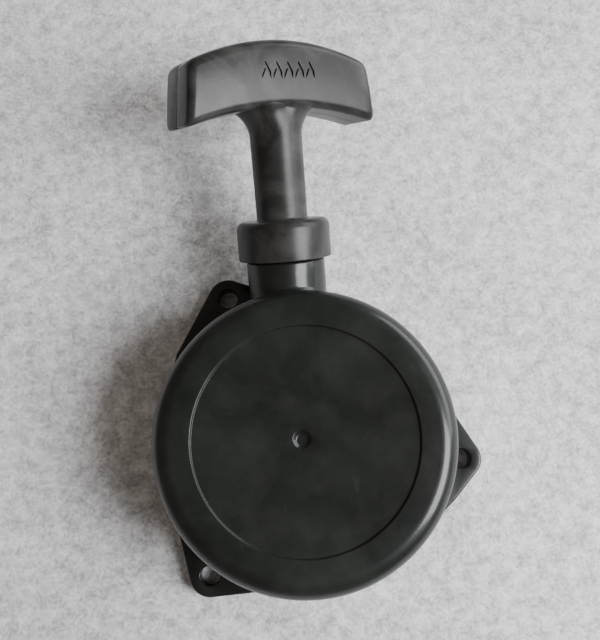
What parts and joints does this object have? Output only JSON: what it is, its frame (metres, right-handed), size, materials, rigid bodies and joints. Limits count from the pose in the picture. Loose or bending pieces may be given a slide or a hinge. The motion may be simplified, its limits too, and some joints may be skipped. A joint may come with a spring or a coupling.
{
  "type": "recoil starter",
  "caption": "Pull starter for a small engine: round moulded case with mounting ears and inclined rope neck, T-bar handle, spring-loaded rope reel and ratchet pawls.",
  "frame": {"origin": "on the drum axis, in the plane of the engine mounting face", "axes": "+Z along the drum axis from the engine towards the closed end of the case, +Y the side that the rope neck and handle leave by"},
  "size_m": [0.1156, 0.1877, 0.0685],
  "materials": {
    "case_nylon": "satin charcoal-black glass-filled nylon",
    "handle_nylon": "semi-gloss dark grey nylon, polished by handling",
    "reel_nylon": "satin black nylon",
    "white_acetal": "natural white acetal",
    "zinc_steel": "zinc plated",
    "spring_steel": "blued and lightly greased",
    "rope": "braided nylon, white with a dark tracer"
  },
  "bodies": {
    "case": {"starter_case": "case_nylon", "rope_guide": "white_acetal", "spring_cassette": "zinc_steel", "cassette_screw_1": "zinc_steel", "cassette_screw_2": "zinc_steel", "cassette_screw_3": "zinc_steel", "recoil_spring": "spring_steel", "post_sleeve": "zinc_steel", "thrust_washer": "zinc_steel", "centre_screw": "zinc_steel"},
    "reel": {"rope_reel": "reel_nylon", "rope_winding": "rope", "reel_knot": "rope", "pawl_pin_1": "zinc_steel", "pawl_pin_2": "zinc_steel", "pawl_spring_1": "spring_steel", "pawl_spring_2": "spring_steel"},
    "guide": {"ratchet_guide": "white_acetal", "friction_spring": "spring_steel"},
    "pawl_a": {"pawl_1": "zinc_steel"},
    "pawl_b": {"pawl_2": "zinc_steel"},
    "rope_end": {"rope_lead": "rope", "handle_knot": "rope", "knot_washer": "zinc_steel"},
    "handle": {"handle_grip": "handle_nylon"}
  },
  "joints": [
    {"name": "handle_pull", "type": "slide", "parent": "case", "child": "rope_end", "axis": [0.018, 0.9353, 0.3535], "range_m": [0, 0.8], "stiffness_N_per_m": 15, "springref_m": -0.55, "deforming": ["rope_lead"]},
    {"name": "reel_spin", "type": "hinge", "parent": "case", "child": "reel", "pos_m": [0, 0, 0.0205], "axis": [0, 0, 1], "range_deg": [-1600, 0], "deforming": ["recoil_spring"]},
    {"name": "guide_turn", "type": "hinge", "parent": "reel", "child": "guide", "pos_m": [0, 0, 0.0084], "axis": [0, 0, 1], "range_deg": [0, 28]},
    {"name": "pawl_1_swing", "type": "hinge", "parent": "reel", "child": "pawl_a", "pos_m": [0.013, 0, 0.0115], "axis": [0, 0, 1], "range_deg": [0, 34]},
    {"name": "pawl_2_swing", "type": "hinge", "parent": "reel", "child": "pawl_b", "pos_m": [-0.013, 0, 0.0115], "axis": [0, 0, 1], "range_deg": [0, 34]},
    {"name": "handle_twist", "type": "hinge", "parent": "rope_end", "child": "handle", "pos_m": [0, 0.0642, 0.0235], "axis": [0.018, 0.9353, 0.3535], "range_deg": [-180, 180]}
  ],
  "couplings": [
    {"joint": "reel_spin", "follows": "handle_pull", "rad_per_m": -34.6},
    {"joint": "pawl_1_swing", "follows": "guide_turn", "ratio": 1.2143},
    {"joint": "pawl_2_swing", "follows": "guide_turn", "ratio": 1.2143}
  ]
}
